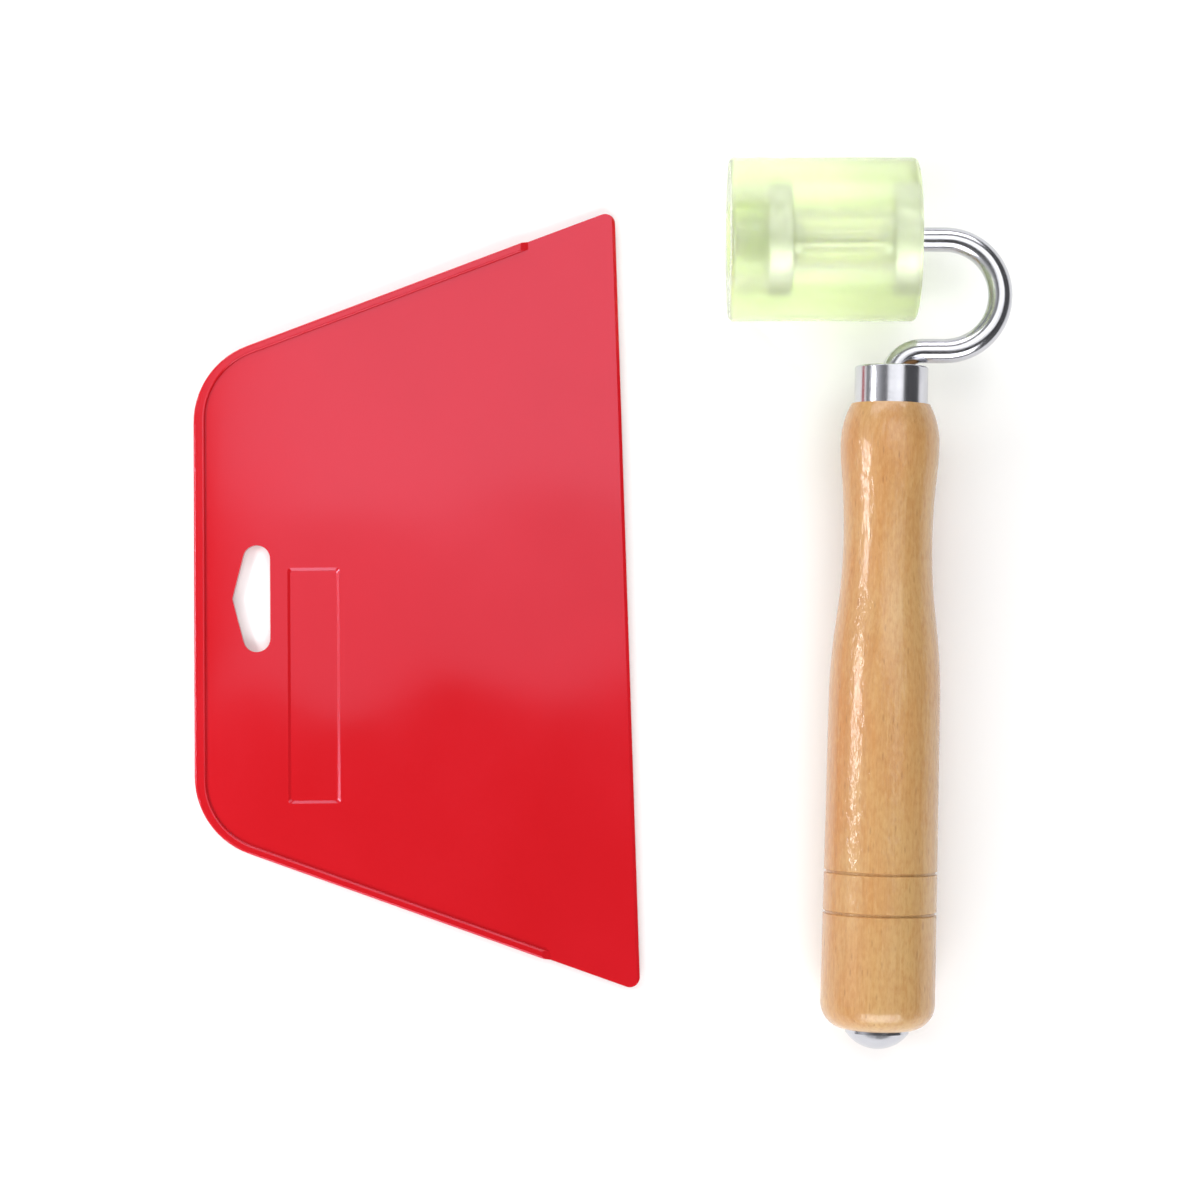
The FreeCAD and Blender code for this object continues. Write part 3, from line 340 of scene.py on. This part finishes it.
def nylon(name, tone):
    """Moulded nylon, slightly translucent, with a fine matt grain."""
    s = Shader(name)
    here = s.place(roller_centre)
    patch = s.noise(here, scale=500, detail=3, rough=0.6)
    grain = s.noise(here, scale=3000)
    colour = s.blend(s.span(patch, (0.3, 0.7)), rgb(*tone), rgb(*darker(tone, 0.93)))
    s.set(Base_Color=colour, Roughness=s.span(grain, (0.3, 0.7), (0.42, 0.56)), Subsurface_Weight=0.15,
          Subsurface_Scale=2 * MM, Normal=s.bump(grain, 0.003 * MM))
    return s.material


finishes = {
    "red_plastic": red_plastic(),
    "lacquered_beech": lacquered_beech(),
    "chrome_steel": chrome_steel(),
    "clear_polyurethane": clear_polyurethane(),
    "bearing_steel": steel("bearing_steel", (226, 227, 229), rough=0.46, mark_depth=0.0015 * MM),
    "zinc_steel": steel("zinc_steel", (200, 203, 210), rough=0.38, mark_depth=0.0005 * MM),
    "cage_nylon": nylon("cage_nylon", (226, 220, 198)),
    "insert_nylon": nylon("insert_nylon", (232, 235, 238)),
}
slots = {part["node"]: part["material_slot"] for part in frame["record"]["subparts"]}
for name, node in frame["nodes"].items():
    node.data.materials.clear()
    node.data.materials.append(finishes[slots[name]])


# ---------------------------------------------------------------- roller tyre


def lathe(name, profile, centre, segments=160):
    """A closed solid turned about X from (x, radius) points in metres, smooth but at its sharp corners."""
    mesh = bmesh.new()
    rings = []
    for x, radius in profile:
        ring = []
        for step in range(segments):
            angle = 2 * math.pi * step / segments
            point = Vector((x, radius * math.cos(angle), radius * math.sin(angle)))
            ring.append(mesh.verts.new(centre + point))
        rings.append(ring)
    for ring, after in zip(rings, rings[1:] + rings[:1]):
        for step in range(segments):
            follow = (step + 1) % segments
            mesh.faces.new((ring[step], ring[follow], after[follow], after[step]))
    bmesh.ops.recalc_face_normals(mesh, faces=mesh.faces)
    data = bpy.data.meshes.new(name)
    mesh.to_mesh(data)
    mesh.free()
    piece = bpy.data.objects.new(name, data)
    scene.collection.objects.link(piece)
    data.shade_smooth()
    data.set_sharp_from_angle(angle=math.radians(35))
    return piece


def corner(x, radius, turn_from, turn_to, by, steps=8):
    """Profile points round a corner of radius by, whose arc centre is (x, radius), between two angles."""
    points = []
    for step in range(steps + 1):
        angle = math.radians(turn_from + (turn_to - turn_from) * step / steps)
        points.append((x + by * math.cos(angle), radius + by * math.sin(angle)))
    return points


def tyre():
    """The cast tyre. It grips its bearings, so its seats bite a little into them and leave no air gap."""
    bite = 0.06 * MM
    bore = 5.6 * MM
    edge = 1.2 * MM
    lip = 0.35 * MM
    low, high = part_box("roller_tyre")
    left = low.x - roller_centre.x
    right = high.x - roller_centre.x
    outer = (high.z - low.z) / 2
    race_low, race_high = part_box("left_outer_race")
    seat = (race_high.z - race_low.z) / 2 - bite
    left_shoulder = race_high.x - roller_centre.x - bite
    right_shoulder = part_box("right_outer_race")[0].x - roller_centre.x + bite

    profile = corner(left + edge, outer - edge, 180, 90, edge)
    profile += corner(right - edge, outer - edge, 90, 0, edge)
    profile += corner(right - lip, seat + lip, 0, -90, lip, steps=4)
    profile += [(right_shoulder, seat), (right_shoulder, bore), (left_shoulder, bore), (left_shoulder, seat)]
    profile += corner(left + lip, seat + lip, -90, -180, lip, steps=4)
    piece = lathe("roller_tyre_cast", profile, roller_centre)
    piece.data.materials.append(finishes["clear_polyurethane"])
    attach(piece, "roller")
    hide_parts("roller_tyre")


tyre()


# ---------------------------------------------------------------- floor, light and camera


def floor():
    """White paper, a hair under the part. Past the lamps' reach it is as white as under them to the eye."""
    mesh = bmesh.new()
    bmesh.ops.create_circle(mesh, cap_ends=True, segments=64, radius=7.0)
    data = bpy.data.meshes.new("floor")
    mesh.to_mesh(data)
    mesh.free()
    piece = bpy.data.objects.new("floor", data)
    piece.location.z = -0.05 * MM
    scene.collection.objects.link(piece)

    s = Shader("floor_paper")
    here = s.place()
    grain = s.noise(here, scale=900)
    s.set(Base_Color=(0.96, 0.96, 0.96, 1), Specular_IOR_Level=0.2)
    s.set(Roughness=s.span(grain, (0.0, 1.0), (0.75, 0.85)))
    far = s.span(s.length(here), (0.30, 0.65), smooth=True)
    white = s.add("Emission", Color=WHITE, Strength=1.0)
    s.mix_over(s.math("MULTIPLY", far, s.ray("Camera")), white)
    piece.data.materials.append(s.material)


def world():
    """A dim grey studio, whose light goes by the angle from overhead towards +X. To the eye it is white."""
    made = bpy.data.worlds.new("studio")
    scene.world = made
    made.use_nodes = True
    w = Nodes(made.node_tree)
    way = w.add("SeparateXYZ", _0=w.add("TexCoord").outputs["Generated"])
    angle = w.math("ARCTAN2", way.outputs["X"], way.outputs["Z"])
    share = w.span(angle, (-math.pi, math.pi))
    # Degrees from overhead, and the grey there.
    greys = (
        (-110, 0.15), (-84, 0.15), (-64, 0.60), (-48, 0.60), (-34, 0.28),
        (-8, 0.05), (40, 0.05), (55, 0.10), (100, 0.10), (110, 0.30),
    )
    cool = 1.03
    studio = w.ramp(share, *[(degrees / 360 + 0.5, (grey, grey, grey * cool, 1)) for degrees, grey in greys])
    w.put(w.tree.nodes["Background"].inputs["Color"], w.blend(w.ray("Camera"), studio, WHITE))


def soft_box(name, centre, target, width, depth, radiance):
    """An area lamp. radiance is its brightness, with 1 that of a lit white sheet."""
    data = bpy.data.lights.new(name, "AREA")
    data.shape = "RECTANGLE"
    data.size = width
    data.size_y = depth
    data.energy = radiance * math.pi * width * depth
    light = bpy.data.objects.new(name, data)
    light.location = centre
    light.rotation_euler = (Vector(centre) - Vector(target)).to_track_quat("Z", "Y").to_euler()
    light.visible_camera = False
    scene.collection.objects.link(light)


def ceiling_box(name, left, right, near, far, radiance):
    """A soft box under the ceiling that faces straight down, given by its edges in X and Y."""
    ceiling = 1.30
    x = (left + right) / 2
    y = (near + far) / 2
    soft_box(name, (x, y, ceiling), (x, y, 0), right - left, far - near, radiance)


def lights():
    """The box overhead makes the squeegee's veil of light. Its near edge dims in a step, the apron."""
    left, right, near, step, far = -0.285, 0.905, 0.0, 0.12, 0.86
    ceiling_box("overhead_box", left, right, step, far, 2.1)
    ceiling_box("overhead_apron", left, right, near, step, 1.15)
    ceiling_box("right_apron", 0.29, 0.91, -0.14, near, 1.9)
    soft_box("front_box", (0.1, -1.35, 0.95), (0, 0, 0), 2.0, 1.0, 4.5)
    soft_box("back_box", (-0.1, 1.5, 0.75), (0, 0, 0), 2.4, 0.8, 3.4)
    # The long highlight on the handle's left.
    soft_box("left_strip", (-0.35, 0.008, 0.23), (0.07, -0.02, 0.02), 0.15, 0.075, 19.0)


def camera():
    """Above the middle of the set, tilted a little from straight down."""
    aim = set_centre + Vector((0.29, 1.19, -15.0)) * MM
    distance = 0.747
    tilt = math.radians(3.0)
    data = bpy.data.cameras.new("camera")
    data.lens = 90
    data.sensor_width = 36
    data.clip_start = 0.01
    data.clip_end = 20
    made = bpy.data.objects.new("camera", data)
    scene.collection.objects.link(made)
    back = Vector((0, -math.sin(tilt), math.cos(tilt)))
    side = Vector((1, 0, 0))
    up = back.cross(side)
    made.location = aim + back * distance
    made.rotation_euler = Matrix((side, up, back)).transposed().to_euler()
    scene.camera = made


floor()
world()
lights()
camera()
